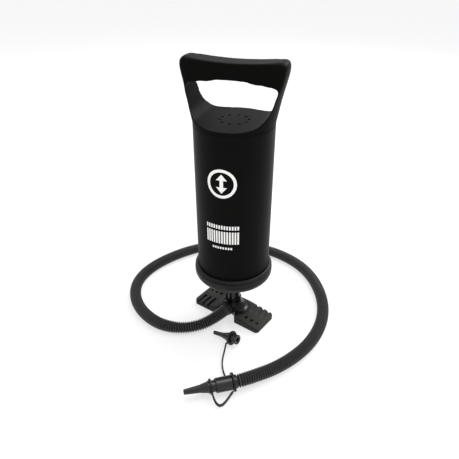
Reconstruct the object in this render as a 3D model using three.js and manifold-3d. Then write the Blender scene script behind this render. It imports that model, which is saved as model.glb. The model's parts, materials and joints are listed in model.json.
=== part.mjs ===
// A double action hand pump, in millimetres, +Z up.
// The foot and its hollow shaft stand still, with the piston on top of the shaft.
// The barrel slides up and down over the piston and can be turned round the shaft.
// The origin is on the shaft's axis at the foot's underside; +X is along the foot
// and -Y is the side where the hose leaves it.

import * as THREE from 'three';
import { mergeVertices } from 'three/addons/utils/BufferGeometryUtils.js';
import Module from 'manifold-3d';

const wasm = await Module();
wasm.setup();

// ---------------------------------------------------------------- driving dimensions
const GAP = 0.3; // clearance between neighbouring pieces

const FOOT_LENGTH = 94;
const FOOT_WIDTH = 36;
const FOOT_END_HEIGHT = 6;
const FOOT_MID_HEIGHT = 9.5;
const FOOT_CORNER = 5;
const TREAD_X = [25, 32.5, 40]; // the slots and the dimples of a pad share these places

const SHAFT_RADIUS = 8.3;
const SHAFT_BORE = 6;
const HUB_TOP = 24;
const PORT_HEIGHT = 12;
const PORT_RADIUS = 9;
const PORT_FACE = 12; // the port's end face, this far in front of the axis

const BORE_RADIUS = 37.5;
const BARREL_BOTTOM = 64;
const BARREL_TOP = 237;
const BARREL_RADIUS_LOW = 39.8;
const BARREL_RADIUS_HIGH = 40.6;
const BARREL_TURN = 18.5; // degrees that the barrel is turned from the foot at rest

const CAP_FLOOR = 241; // the scoop's floor
const VENT_CIRCLE = 14.4;
const VENT_COUNT = 10;
const VENT_RADIUS = 1.5;
const VENT_SIDES = 8;
const BAR_HALF_DEPTH = 13;
const TOTAL_HEIGHT = 300;

const FLANGE_RADIUS = 44;
const BOWL_BOTTOM = 58;
const BOWL_CORNER = 9;
const INNER_FLOOR = 61;
const BOSS_RADIUS = 15;
const BOSS_TOP = 68.6;

const PISTON_RADIUS = 36.6;
const PISTON_SEAT = 206; // the shoulder of the shaft that the piston sits on
const PISTON_FLOOR = 211; // the top of the piston's floor
const PISTON_RIM = 225;
const LID_THICK = 3;
const SCREW_CIRCLE = 29.4;
const DISC_THICK = 1;
const DISC_TRAVEL = 2;
const PIN_RADIUS = 1.8; // the pins that the two upper discs hang on
const PIN_HOLE = PIN_RADIUS + GAP;
const PIN_BOSS = 3.2;

const HOSE_RADIUS = 7;
const HOSE_STEPS = 52;
const HOSE_SIDES = 12;
const CAP_ROUND = 56; // sides of the handle cap
const ROUND = 40; // sides of the other big round pieces
const SMALL_ROUND = 24;
const TINY_ROUND = 12;

// ---------------------------------------------------------------- materials
const satinBlack = new THREE.MeshStandardMaterial({ color: 0x1b1b1c, roughness: 0.45 });
const softBlack = new THREE.MeshStandardMaterial({ color: 0x262626, roughness: 0.6 });
const glossBlack = new THREE.MeshStandardMaterial({ color: 0x101011, roughness: 0.2 });
const hosePlastic = new THREE.MeshStandardMaterial({ color: 0x1d1d1d, roughness: 0.5 });
const rubber = new THREE.MeshStandardMaterial({ color: 0x171717, roughness: 0.85 });
const whitePlastic = new THREE.MeshStandardMaterial({ color: 0xd8d8d4, roughness: 0.5 });
const steel = new THREE.MeshStandardMaterial({ color: 0xb9bcc0, roughness: 0.3, metalness: 1 });

// ---------------------------------------------------------------- small tools
const radians = THREE.MathUtils.degToRad;

// A closed geometry as a solid for joining and cutting, whichever way it was wound.
function solid(geometry) {
  const bare = geometry.clone();
  bare.deleteAttribute('normal');
  bare.deleteAttribute('uv');
  const merged = mergeVertices(bare, 1e-4);
  const place = merged.attributes.position.array;
  const all = merged.index.array;
  const kept = [];
  for (let i = 0; i < all.length; i += 3) {
    const [a, b, c] = [all[i], all[i + 1], all[i + 2]];
    if (a !== b && b !== c && c !== a) kept.push(a, b, c);
  }
  let volume = 0;
  const corners = [new THREE.Vector3(), new THREE.Vector3(), new THREE.Vector3()];
  for (let i = 0; i < kept.length; i += 3) {
    corners.forEach((corner, k) => corner.fromArray(place, 3 * kept[i + k]));
    volume += corners[0].dot(corners[1].clone().cross(corners[2]));
  }
  if (volume < 0) kept.reverse();
  const vertProperties = new Float32Array(place);
  const triVerts = new Uint32Array(kept);
  return new wasm.Manifold(new wasm.Mesh({ numProp: 3, vertProperties, triVerts }));
}

function joined(pieces) {
  return pieces.reduce((whole, piece) => whole.add(piece));
}

function cut(body, tools) {
  return tools.reduce((left, tool) => left.subtract(tool), body);
}

// The finished solid as a mesh with a name and a material.
function part(name, body, material) {
  const { vertProperties, triVerts } = body.getMesh();
  const geometry = new THREE.BufferGeometry();
  geometry.setAttribute('position', new THREE.BufferAttribute(new Float32Array(vertProperties), 3));
  geometry.setIndex(new THREE.BufferAttribute(new Uint32Array(triVerts), 1));
  geometry.computeVertexNormals();
  const mesh = new THREE.Mesh(geometry, material);
  mesh.name = name;
  return mesh;
}

// A turned piece: a closed outline of [radius, height] points round the Z axis.
function turned(outline, sides = ROUND) {
  const points = outline.map(([radius, height]) => new THREE.Vector2(radius, height));
  const geometry = new THREE.LatheGeometry([...points, points[0].clone()], sides);
  return solid(geometry.rotateX(Math.PI / 2));
}

// A flat ring or washer from inner to outer radius, between two heights.
function ring(inner, outer, low, high, sides = SMALL_ROUND) {
  return turned([[inner, low], [outer, low], [outer, high], [inner, high]], sides);
}

// A rod along Z between two heights.
function rod(radius, low, high, x = 0, y = 0, sides = TINY_ROUND) {
  const geometry = new THREE.CylinderGeometry(radius, radius, high - low, sides);
  geometry.rotateX(Math.PI / 2);
  return solid(geometry.translate(x, y, (low + high) / 2));
}

// A rod along Y at one height, in front of the axis between two distances.
function rodForward(radius, near, far, height, sides = SMALL_ROUND) {
  const geometry = new THREE.CylinderGeometry(radius, radius, far - near, sides);
  return solid(geometry.translate(0, -(near + far) / 2, height));
}

function box(from, to) {
  const size = to.map((value, axis) => value - from[axis]);
  const middle = to.map((value, axis) => (value + from[axis]) / 2);
  return solid(new THREE.BoxGeometry(...size).translate(...middle));
}

// The same rods at equal angles on a circle; the first is a share of a step away from +X.
function rodCircle(count, circle, radius, low, high, sides = TINY_ROUND, share = 0) {
  return Array.from({ length: count }, (_, i) => {
    const angle = (2 * Math.PI * (i + share)) / count;
    return rod(radius, low, high, circle * Math.cos(angle), circle * Math.sin(angle), sides);
  });
}

// Points on an arc in an outline, from one angle to another in degrees.
function arc(x, y, radius, from, to, steps) {
  return Array.from({ length: steps + 1 }, (_, i) => {
    const angle = radians(from + ((to - from) * i) / steps);
    return [x + radius * Math.cos(angle), y + radius * Math.sin(angle)];
  });
}

function shapeOf(outline) {
  return new THREE.Shape(outline.map(([x, y]) => new THREE.Vector2(x, y)));
}

// A plate from an outline in plan, between two heights.
function plate(outline, low, high) {
  const geometry = new THREE.ExtrudeGeometry(shapeOf(outline), { depth: high - low, bevelEnabled: false });
  return solid(geometry.translate(0, 0, low));
}

// An outline of [x, height] points seen from the front, pushed through from -depth to +depth in Y.
function throughY(outline, depth) {
  const geometry = new THREE.ExtrudeGeometry(shapeOf(outline), { depth: 2 * depth, bevelEnabled: false });
  geometry.translate(0, 0, -depth);
  return solid(geometry.rotateX(Math.PI / 2));
}

// An outline of [y, height] points seen from the side, pushed through from -width to +width in X.
function throughX(outline, width) {
  const geometry = new THREE.ExtrudeGeometry(shapeOf(outline), { depth: 2 * width, bevelEnabled: false });
  geometry.translate(0, 0, -width);
  geometry.rotateX(Math.PI / 2);
  return solid(geometry.rotateZ(Math.PI / 2));
}

// ---------------------------------------------------------------- foot and shaft

// Two tread pads and a flared hub in one moulding. The notch in front clears the hose.
function foot() {
  const halfLength = FOOT_LENGTH / 2;
  const halfWidth = FOOT_WIDTH / 2;
  const inner = [halfLength - FOOT_CORNER, halfWidth - FOOT_CORNER];
  const plan = [
    ...arc(inner[0], -inner[1], FOOT_CORNER, -90, 0, 4),
    ...arc(inner[0], inner[1], FOOT_CORNER, 0, 90, 4),
    ...arc(-inner[0], inner[1], FOOT_CORNER, 90, 180, 4),
    ...arc(-inner[0], -inner[1], FOOT_CORNER, 180, 270, 4),
  ];
  const flat = 13; // half the length of the level middle
  const side = [
    [-halfLength, 0],
    [halfLength, 0],
    [halfLength, FOOT_END_HEIGHT],
    [flat, FOOT_MID_HEIGHT],
    [-flat, FOOT_MID_HEIGHT],
    [-halfLength, FOOT_END_HEIGHT],
  ];
  const pads = plate(plan, 0, FOOT_MID_HEIGHT).intersect(throughY(side, FOOT_WIDTH));

  const hubTopRadius = 9.5;
  const flareRadius = 12;
  const flareLow = 8.7;
  const flareFoot = hubTopRadius + flareRadius;
  const flare = turned([
    [0, 0.5],
    [flareFoot, 0.5],
    ...arc(flareFoot, flareLow + flareRadius, flareRadius, 270, 180, 8),
    [hubTopRadius, HUB_TOP],
    [0, HUB_TOP],
  ], SMALL_ROUND);
  const hub = flare.intersect(plate(plan, 0, HUB_TOP + 1));

  const notch = rod(14, -1, HUB_TOP + 1, 0, -21, SMALL_ROUND);
  const body = cut(joined([pads, hub]), [notch]).add(rodForward(PORT_RADIUS, 0, PORT_FACE, PORT_HEIGHT));

  // The slots of the -X pad are deep; those of the +X pad run out towards its middle.
  const slotWidth = 2.8;
  const slotStart = 2;
  const slotEnd = halfWidth + 1;
  const deepFloor = 3.8;
  const slotLid = FOOT_MID_HEIGHT + 1;
  const dimpleRadius = 2;
  const fall = (FOOT_MID_HEIGHT - FOOT_END_HEIGHT) / (halfLength - flat);
  const tools = [];
  for (const end of [1, -1]) {
    for (const x of TREAD_X) {
      const surface = FOOT_MID_HEIGHT - fall * (x - flat);
      const floors = end > 0 ? [surface - 0.3, surface - 2.3] : [deepFloor, deepFloor];
      const section = [
        [end * slotStart, floors[0]],
        [end * slotEnd, floors[1]],
        [end * slotEnd, slotLid],
        [end * slotStart, slotLid],
      ];
      tools.push(throughX(section, slotWidth / 2).translate([end * x, 0, 0]));
      tools.push(rod(dimpleRadius, 5, slotLid, end * x, -end * 9));
    }
    const coreFrom = [end > 0 ? 17 : -44, -14, -1];
    const coreTo = [end > 0 ? 44 : -17, 14, 2];
    tools.push(box(coreFrom, coreTo));
  }
  const socket = rod(SHAFT_RADIUS + GAP, 4.5, HUB_TOP + 1, 0, 0, SMALL_ROUND);
  const portBore = rodForward(4.5, 0, PORT_FACE + 1, PORT_HEIGHT, TINY_ROUND);
  return part('foot', cut(body, [...tools, socket, portBore]), softBlack);
}

const SHAFT_TOP = 215.6;
const THREAD_RADIUS = 7.6;
const GROOVE_LOW = 15.2;
const GROOVE_HIGH = 17.2;

// The hollow shaft: a port at its foot, a groove for the seal and a thread at its top.
function shaft() {
  const bottom = 4.8;
  const tube = turned([
    [SHAFT_BORE, bottom],
    [SHAFT_RADIUS, bottom],
    [SHAFT_RADIUS, GROOVE_LOW],
    [SHAFT_RADIUS - 1, GROOVE_LOW],
    [SHAFT_RADIUS - 1, GROOVE_HIGH],
    [SHAFT_RADIUS, GROOVE_HIGH],
    [SHAFT_RADIUS, PISTON_SEAT],
    [THREAD_RADIUS, PISTON_SEAT],
    [THREAD_RADIUS, SHAFT_TOP],
    [SHAFT_BORE, SHAFT_TOP],
  ], SMALL_ROUND);
  return part('shaft', cut(tube, [rodForward(3, 0, PORT_FACE, 11.5, TINY_ROUND)]), glossBlack);
}

function shaftBaseSeal() {
  const inner = SHAFT_RADIUS - 1 + GAP;
  const body = ring(inner, SHAFT_RADIUS, GROOVE_LOW + GAP, GROOVE_HIGH - GAP);
  return part('shaft_base_o_ring', body, rubber);
}

// ---------------------------------------------------------------- piston

const FLOOR_HOLES = 19.5; // circle of the air holes in the piston's floor
const LID_HOLES = 12;
const LID_LOW = PISTON_RIM + GAP;
const LID_HIGH = LID_LOW + LID_THICK;
const RETAINER_TOP = 222;
const SEAL_LOW = 212.9; // the seal's groove in the piston's rim
const SEAL_HIGH = 219.1;
const SEAL_DEPTH = 2.2;

// A cup with a floor, a hub on the shaft, a rim with the seal's groove and three screw bosses.
function pistonBody() {
  const bodyLow = PISTON_SEAT + GAP;
  const floorLow = PISTON_FLOOR - 3;
  const holeInHub = THREAD_RADIUS + GAP;
  const wall = PISTON_RADIUS - 3.7;
  const grooveRadius = PISTON_RADIUS - SEAL_DEPTH;
  const cup = turned([
    [holeInHub, bodyLow],
    [12.5, bodyLow],
    [12.5, floorLow],
    [PISTON_RADIUS, floorLow],
    [PISTON_RADIUS, SEAL_LOW],
    [grooveRadius, SEAL_LOW],
    [grooveRadius, SEAL_HIGH],
    [PISTON_RADIUS, SEAL_HIGH],
    [PISTON_RADIUS, PISTON_RIM],
    [wall, PISTON_RIM],
    [wall, PISTON_FLOOR],
    [holeInHub, PISTON_FLOOR],
  ]);
  const bosses = rodCircle(3, SCREW_CIRCLE, 3.6, floorLow + 1, PISTON_RIM);
  const pilots = rodCircle(3, SCREW_CIRCLE, 1.6, PISTON_FLOOR + 3, PISTON_RIM + 1);
  const holes = rodCircle(8, FLOOR_HOLES, 2.5, floorLow - 1, PISTON_FLOOR + 1);
  return part('piston_body', cut(joined([cup, ...bosses]), [...pilots, ...holes]), whitePlastic);
}

// The nut clamps the piston to the shaft, and its brim stops the lower delivery disc.
function pistonNut() {
  const low = PISTON_FLOOR + GAP;
  const brimLow = low + DISC_THICK + DISC_TRAVEL + 0.1;
  const bore = THREAD_RADIUS + GAP;
  const body = turned([
    [bore, low],
    [11.8, low],
    [11.8, brimLow],
    [17, brimLow],
    [17, brimLow + 1.5],
    [bore, brimLow + 1.5],
  ], SMALL_ROUND);
  return part('piston_nut', body, whitePlastic);
}

// A cup seal with a lip at each edge, because the pump works both ways.
function pistonSeal() {
  const lip = BORE_RADIUS - 0.2;
  const back = PISTON_RADIUS - SEAL_DEPTH + GAP;
  const body = turned([
    [back, SEAL_LOW + GAP],
    [lip, SEAL_LOW + GAP],
    [lip - 0.5, (SEAL_LOW + SEAL_HIGH) / 2],
    [lip, SEAL_HIGH - GAP],
    [back, SEAL_HIGH - GAP],
  ]);
  return part('piston_seal', body, rubber);
}

function pistonLid() {
  const disc = rod(PISTON_RADIUS, LID_LOW, LID_HIGH, 0, 0, ROUND);
  const boss = rod(PIN_BOSS, RETAINER_TOP + GAP, LID_LOW + 1);
  const headSeats = rodCircle(3, SCREW_CIRCLE, 3.3, LID_HIGH - 1.5, LID_HIGH + 1);
  const screwHoles = rodCircle(3, SCREW_CIRCLE, 1.6, LID_LOW - 1, LID_HIGH + 1);
  const holes = rodCircle(8, LID_HOLES, 2.5, LID_LOW - 1, LID_HIGH + 1);
  const pinHole = rod(PIN_HOLE, RETAINER_TOP - 1, LID_LOW + 1.6);
  const body = cut(disc.add(boss), [...headSeats, ...screwHoles, ...holes, pinHole]);
  return part('piston_lid', body, whitePlastic);
}

function pistonScrews() {
  return [0, 1, 2].map((i) => {
    const angle = (2 * Math.PI * i) / 3;
    const [x, y] = [SCREW_CIRCLE * Math.cos(angle), SCREW_CIRCLE * Math.sin(angle)];
    const head = rod(2.9, LID_HIGH - 1.2, LID_HIGH - 0.1, x, y);
    const slot = box([x - 3, y - 0.3, LID_HIGH - 0.6], [x + 3, y + 0.3, LID_HIGH + 1]);
    const shank = rod(1.2, PISTON_FLOOR + 4, LID_HIGH - 1, x, y);
    return part(`piston_screw_${i + 1}`, cut(joined([head, shank]), [slot]), steel);
  });
}

// The pin that the upper delivery disc hangs on, pressed into the lid's boss.
function deliveryRetainer() {
  const head = rod(6.5, RETAINER_TOP - 1.4, RETAINER_TOP, 0, 0, SMALL_ROUND);
  const pin = rod(PIN_RADIUS, RETAINER_TOP - 0.5, LID_LOW + 1.2);
  return part('delivery_retainer', head.add(pin), whitePlastic);
}

function upperDeliveryDisc() {
  const low = RETAINER_TOP + 0.2;
  return part('upper_delivery_disc', ring(3.6, 17, low, low + DISC_THICK), rubber);
}

function lowerDeliveryDisc() {
  const low = PISTON_FLOOR + GAP;
  return part('lower_delivery_disc', ring(12.4, 24.8, low, low + DISC_THICK), rubber);
}

// ---------------------------------------------------------------- barrel

function barrelTube() {
  const top = BARREL_TOP - 0.1;
  const body = turned([
    [BORE_RADIUS, BARREL_BOTTOM],
    [BARREL_RADIUS_LOW, BARREL_BOTTOM],
    [BARREL_RADIUS_HIGH, top],
    [BORE_RADIUS, top],
  ], ROUND);
  return part('barrel_tube', body, satinBlack);
}

const CAP_LOW = BARREL_TOP + 0.2;
const SPIGOT_LOW = 229;
const DISC_RETAINER_TOP = 233.9;
const CAP_GROOVE = [231, 233]; // heights of the O-ring's groove in the cap's spigot

// The top cap and its D handle in one moulding: a flared body of revolution, cut to the
// depth of the bar above the scoop, with the hand's opening cut through from front to back.
function handleCap() {
  const flare = [
    [BARREL_RADIUS_HIGH, CAP_LOW],
    [40.7, 240],
    [42.7, 250],
    [45.1, 262],
    [47.9, 273],
    [50.4, 283],
    [51.7, 289],
  ];
  const envelope = turned([
    [0, CAP_LOW],
    ...flare,
    ...arc(45.3, TOTAL_HEIGHT - 6.6, 6.6, 0, 90, 6),
    [0, TOTAL_HEIGHT],
  ], CAP_ROUND);
  const side = [
    [-60, CAP_LOW - 1],
    [60, CAP_LOW - 1],
    [60, 258],
    [22, 266],
    [BAR_HALF_DEPTH + 1, 275],
    [BAR_HALF_DEPTH, 281],
    ...arc(BAR_HALF_DEPTH - 4.5, TOTAL_HEIGHT - 5.5, 4.5, 0, 90, 4),
    ...arc(-BAR_HALF_DEPTH + 4.5, TOTAL_HEIGHT - 5.5, 4.5, 90, 180, 4),
    [-BAR_HALF_DEPTH, 281],
    [-BAR_HALF_DEPTH - 1, 275],
    [-22, 266],
    [-60, 258],
  ];
  // The scoop's floor turns up into the arms; half of it, from the middle outwards.
  const scoop = [
    [14, CAP_FLOOR],
    [24, 242.2],
    [30, 244.2],
    [34.6, 248.2],
    [38, 252.8],
    [40.6, 259],
    [43, 267],
    [44.4, 272],
    [43.8, 275],
  ];
  // Finger waves under the bar, half of them, from the arm to the middle.
  const waves = [
    [40, 276.6],
    [34, 277.3],
    [29, 278.2],
    [24, 278.2],
    [19, 279],
    [14, 280.1],
    [9, 280.2],
    [4, 280.4],
  ];
  const mirrored = (points) => points.map(([x, z]) => [-x, z]).reverse();
  const opening = [...scoop, ...waves, ...mirrored(waves), ...mirrored(scoop)];
  const dishRadius = 340; // the bar's top sags a little between the arms
  const dish = throughY(arc(0, TOTAL_HEIGHT - 4.3 + dishRadius, dishRadius, 260, 280, 14), 60);

  const spigot = turned([
    [34.9, SPIGOT_LOW],
    [37.1, SPIGOT_LOW],
    [37.1, CAP_GROOVE[0]],
    [36, CAP_GROOVE[0]],
    [36, CAP_GROOVE[1]],
    [37.1, CAP_GROOVE[1]],
    [37.1, CAP_LOW + 1],
    [34.9, CAP_LOW + 1],
  ], CAP_ROUND);
  const boss = rod(PIN_BOSS, DISC_RETAINER_TOP + GAP, CAP_LOW + 1);
  const shell = cut(envelope.intersect(throughX(side, 60)), [throughY(opening, 60), dish]);
  const ventTop = CAP_FLOOR + 1;
  const vents = rodCircle(VENT_COUNT, VENT_CIRCLE, VENT_RADIUS, CAP_LOW - 2, ventTop, VENT_SIDES, 0.5);
  const pinHole = rod(PIN_HOLE, DISC_RETAINER_TOP - 1, CAP_FLOOR - 1);
  const body = cut(joined([shell, spigot, boss]), [...vents, pinHole]);
  return part('handle_cap', body, softBlack);
}

function capSeal() {
  return part('cap_o_ring', ring(36.2, 37.2, CAP_GROOVE[0] + GAP, CAP_GROOVE[1] - GAP, ROUND), rubber);
}

// The pin that the intake disc hangs on, pressed into the cap's boss.
function intakeRetainer() {
  const head = rod(6.5, DISC_RETAINER_TOP - 1.5, DISC_RETAINER_TOP, 0, 0, SMALL_ROUND);
  const pin = rod(PIN_RADIUS, DISC_RETAINER_TOP - 0.5, CAP_FLOOR - 1.4);
  return part('intake_retainer', head.add(pin), whitePlastic);
}

function upperIntakeDisc() {
  const low = DISC_RETAINER_TOP + 0.2;
  return part('upper_intake_disc', ring(3.6, 20, low, low + DISC_THICK), rubber);
}

const RIM_TOP = 72;

function lockRing() {
  const low = RIM_TOP + GAP;
  const inner = BARREL_RADIUS_LOW + GAP;
  const body = turned([
    [inner, low],
    [FLANGE_RADIUS - 1.5, low],
    [FLANGE_RADIUS - 0.3, low + 0.8],
    [FLANGE_RADIUS - 0.3, low + 1.5],
    [FLANGE_RADIUS - 2, low + 3.2],
    [inner + 0.7, low + 3.4],
    [inner, low + 3.4],
  ]);
  return part('lock_ring', body, satinBlack);
}

// The bowl that closes the barrel below: a rim round the barrel, air holes in the floor and
// a boss with the pocket for the bush and the lip seal.
function bottomCap() {
  const cornerX = FLANGE_RADIUS - BOWL_CORNER;
  const cornerZ = BOWL_BOTTOM + BOWL_CORNER;
  const body = turned([
    [9.3, 54],
    [BOSS_RADIUS, 54],
    [BOSS_RADIUS, BOWL_BOTTOM],
    ...arc(cornerX, cornerZ, BOWL_CORNER, 270, 360, 6),
    [FLANGE_RADIUS, RIM_TOP - 1.2],
    [FLANGE_RADIUS - 1.6, RIM_TOP],
    [BARREL_RADIUS_LOW + GAP, RIM_TOP],
    [BARREL_RADIUS_LOW + GAP, 61.3],
    [37.2, 61.3],
    [37.2, 63.6],
    [34.5, 63.6],
    [34.5, INNER_FLOOR],
    [BOSS_RADIUS, INNER_FLOOR],
    [BOSS_RADIUS, BOSS_TOP],
    [11.9, BOSS_TOP],
    [11.9, 56],
    [9.3, 56],
  ]);
  const holes = rodCircle(8, 22.5, 2.5, BOWL_BOTTOM - 1, INNER_FLOOR + 1);
  return part('bottom_cap', cut(body, holes), satinBlack);
}

function barrelSeal() {
  return part('barrel_o_ring', ring(37.5, 39.3, 61.6, 63.7, ROUND), rubber);
}

// The cap on the boss: it holds the bush and the seal in, and its skirt stops the intake disc.
function bushRetainer() {
  const skirtLow = INNER_FLOOR + GAP + DISC_THICK + DISC_TRAVEL + 0.3;
  const skirt = BOSS_RADIUS + 0.4;
  const body = turned([
    [skirt, skirtLow],
    [19, skirtLow],
    [19, 71],
    [8.8, 71],
    [8.8, 69],
    [skirt, 69],
  ]);
  return part('bush_retainer', body, whitePlastic);
}

function lowerIntakeDisc() {
  const low = INNER_FLOOR + GAP;
  return part('lower_intake_disc', ring(15.6, 28.5, low, low + DISC_THICK), rubber);
}

function shaftBush() {
  return part('shaft_bush', ring(SHAFT_RADIUS + GAP, 11.6, 56.3, 66), whitePlastic);
}

function shaftLipSeal() {
  const body = turned([
    [SHAFT_RADIUS + GAP, 67.4],
    [9.6, 66.3],
    [11.6, 66.3],
    [11.6, 68.4],
    [9.2, 68.4],
  ], SMALL_ROUND);
  return part('shaft_lip_seal', body, rubber);
}

// ---------------------------------------------------------------- hose and its end

const CUFF_LENGTH = 3.8;
const LYING = HOSE_RADIUS + 0.1; // height of the hose's middle where it lies on the floor

// The hose leaves the port, loops on the floor round behind the pump and comes back in front.
const HOSE_ROUTE = [
  [0, -16.6, 12],
  [-0.1, -20, 12],
  [-1.6, -28, 11],
  [-5.4, -39.5, 8.9],
  [-11.6, -51.5, 7.4],
  [-21, -63, LYING],
  [-33.6, -71.6, LYING],
  [-52, -76.6, LYING],
  [-76, -74.4, LYING],
  [-97.5, -66, LYING],
  [-115, -53, LYING],
  [-127.5, -36.5, LYING],
  [-134.4, -17, LYING],
  [-136, 4, LYING],
  [-133, 27, LYING],
  [-126, 51, LYING],
  [-115, 74, LYING],
  [-98.5, 95, LYING],
  [-77, 112, LYING],
  [-53, 123, LYING],
  [-27.5, 128.4, LYING],
  [-1, 128, LYING],
  [25.5, 121.4, LYING],
  [48, 109, LYING],
  [68, 91.5, LYING],
  [85, 70, LYING],
  [97, 46, LYING],
  [103.6, 20, LYING],
  [104.8, -6, LYING],
  [100.8, -32, LYING],
  [93, -55.5, 7.3],
  [83.4, -75.6, 8.5],
  [74.7, -91.2, 9.4],
  [72.6, -94, 9.4],
];

function tubeAlong(points, section, steps) {
  const route = new THREE.CatmullRomCurve3(points.map((point) => new THREE.Vector3(...point)));
  return solid(new THREE.ExtrudeGeometry(section, { steps, extrudePath: route, bevelEnabled: false }));
}

function hose() {
  const section = shapeOf(arc(0, 0, HOSE_RADIUS, 0, 360 - 360 / HOSE_SIDES, HOSE_SIDES - 1));
  return part('hose', tubeAlong(HOSE_ROUTE, section, HOSE_STEPS), hosePlastic);
}

function hosePortCuff() {
  const body = ring(4.2, 7.9, 0, CUFF_LENGTH, 20);
  const mesh = part('hose_port_cuff', body, hosePlastic);
  mesh.position.set(0, -(PORT_FACE + GAP), PORT_HEIGHT);
  mesh.rotation.x = Math.PI / 2;
  return mesh;
}

const END_POINT = new THREE.Vector3(71.2, -95.7, 9.4); // where the hose enters its end fitting
const END_HEADING = new THREE.Vector3(-0.629, -0.777, 0).normalize();
const END_SIDE = new THREE.Vector3(-END_HEADING.y, END_HEADING.x, 0);

// The fitting and the nozzle are turned pieces along the end group's own +Z.
function hoseAdaptor() {
  const body = turned([
    [4.6, -1.9],
    [7, -1.9],
    [7, 0.2],
    [6.6, 0.2],
    [6.6, 2.7],
    [7.2, 2.7],
    [7.5, 3.1],
    [7.5, 19],
    [6.9, 20],
    [6.3, 20],
    [6.3, 12.7],
    [4.6, 12.7],
  ], 24);
  return part('hose_adaptor', body, softBlack);
}

// A lug on a ring of the tether, from one radius to another on the +X or the -X side.
function lug(inner, outer, low, high, sign) {
  const reach = [sign * inner, sign * outer].sort((a, b) => a - b);
  return box([reach[0], -1.3, low], [reach[1], 1.3, high]);
}

const LUG_REACH = 11.4;

function tetherRing() {
  const hoop = ring(6.9, 9.6, 0.5, 2.4, 24);
  const lugs = [1, -1].map((sign) => lug(8.4, LUG_REACH, 0.6, 2.3, sign));
  return part('tether_ring', joined([hoop, ...lugs]), hosePlastic);
}

function nozzle() {
  const body = turned([
    [2.3, 13],
    [5.9, 13],
    [5.9, 26],
    [6.3, 26],
    [6.3, 27.2],
    [5.6, 27.8],
    [4.3, 34.6],
    [4, 35.2],
    [2.7, 51],
    [2.3, 51.8],
    [1.5, 51.8],
    [1.5, 38],
    [2.3, 30],
  ], 24);
  return part('nozzle', body, softBlack);
}

function nozzleRing() {
  const hoop = ring(6.2, 7.9, 23.9, 25.5, 24);
  return part('nozzle_ring', joined([hoop, lug(7, 9.4, 23.9, 25.5, 1)]), hosePlastic);
}

function endGroup() {
  const group = new THREE.Group();
  const upright = new THREE.Vector3().crossVectors(END_HEADING, END_SIDE);
  const turn = new THREE.Matrix4().makeBasis(END_SIDE, upright, END_HEADING);
  group.quaternion.setFromRotationMatrix(turn);
  group.position.copy(END_POINT);
  group.add(hoseAdaptor(), tetherRing(), nozzle(), nozzleRing());
  return group;
}

// A point beside the end fitting: along its axis, out to its side, and a height.
function beside(along, out, height) {
  const place = END_POINT.clone().addScaledVector(END_HEADING, along).addScaledVector(END_SIDE, out);
  return [place.x, place.y, height];
}

const STRAP_WIDTH = 3.2;
const STRAP_THICK = 1.6;
const strapSection = shapeOf([
  [-STRAP_THICK / 2, -STRAP_WIDTH / 2],
  [STRAP_THICK / 2, -STRAP_WIDTH / 2],
  [STRAP_THICK / 2, STRAP_WIDTH / 2],
  [-STRAP_THICK / 2, STRAP_WIDTH / 2],
]);

function tetherStrap() {
  const route = [
    beside(3.3, 6.2, 2.2),
    beside(5.3, 8, 2.1),
    beside(9, 11.8, 2),
    beside(13.3, 15.8, 2),
    beside(17, 18.4, 2.2),
    beside(20.4, 19, 3),
    beside(22.8, 17.2, 4.8),
    beside(24.2, 14, 7.2),
    beside(24.7, 11.5, 9.1),
    beside(24.7, 10, 9.4),
  ];
  return part('tether_strap', tubeAlong(route, strapSection, 24), hosePlastic);
}

const SPARE_FLANGE = new THREE.Vector3(32.1, -46.6, 8.3);
const SPARE_HEADING = new THREE.Vector3(-25.4, -0.3, -5.4).normalize();
const SPARE_SIDE = new THREE.Vector3(-SPARE_HEADING.y, SPARE_HEADING.x, 0).normalize();

function spareStrap() {
  const route = [
    beside(3.7, -6.6, 2.2),
    beside(4.9, -9, 2.1),
    beside(5.9, -15, 2),
    beside(6.1, -22, 2),
    beside(5.4, -29, 2),
    beside(3.6, -36.5, 2),
    beside(0.8, -43.5, 2.5),
    beside(-1.8, -48.4, 4.4),
    beside(-3.8, -52, 7),
    beside(-4.8, -53.9, 8.1),
    beside(-5.5, -54.8, 8.3),
  ];
  return part('spare_strap', tubeAlong(route, strapSection, 24), hosePlastic);
}

// The spare nozzle lies on its flange and its tip; its local +Z runs from flange to tip.
function spareNozzle() {
  const body = turned([
    [2.6, -8],
    [5.4, -8],
    [5.4, 1.2],
    [6.2, 1.2],
    [6.2, 2.6],
    [4.6, 6.5],
    [3.2, 11.5],
    [2.5, 16],
    [2.1, 25.6],
    [1.1, 25.6],
    [1.1, 8],
    [2.6, 2],
  ], 24);
  const slot = box([-3, -0.5, 19], [3, 0.5, 27]);
  return part('spare_nozzle', cut(body, [slot]), softBlack);
}

function spareRing() {
  const hoop = ring(5.7, 8.1, -0.9, 0.9, 24);
  return part('spare_ring', hoop.add(lug(7.4, 9.6, -0.9, 0.9, 1)), hosePlastic);
}

function spareGroup() {
  const group = new THREE.Group();
  const upright = new THREE.Vector3().crossVectors(SPARE_HEADING, SPARE_SIDE);
  const turn = new THREE.Matrix4().makeBasis(SPARE_SIDE, upright, SPARE_HEADING);
  group.quaternion.setFromRotationMatrix(turn);
  group.position.copy(SPARE_FLANGE);
  group.add(spareNozzle(), spareRing());
  return group;
}

// ---------------------------------------------------------------- assembly

const barrelGroup = new THREE.Group();
barrelGroup.rotation.z = radians(BARREL_TURN);
barrelGroup.add(
  barrelTube(),
  handleCap(),
  capSeal(),
  intakeRetainer(),
  upperIntakeDisc(),
  lockRing(),
  bottomCap(),
  barrelSeal(),
  bushRetainer(),
  lowerIntakeDisc(),
);

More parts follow.
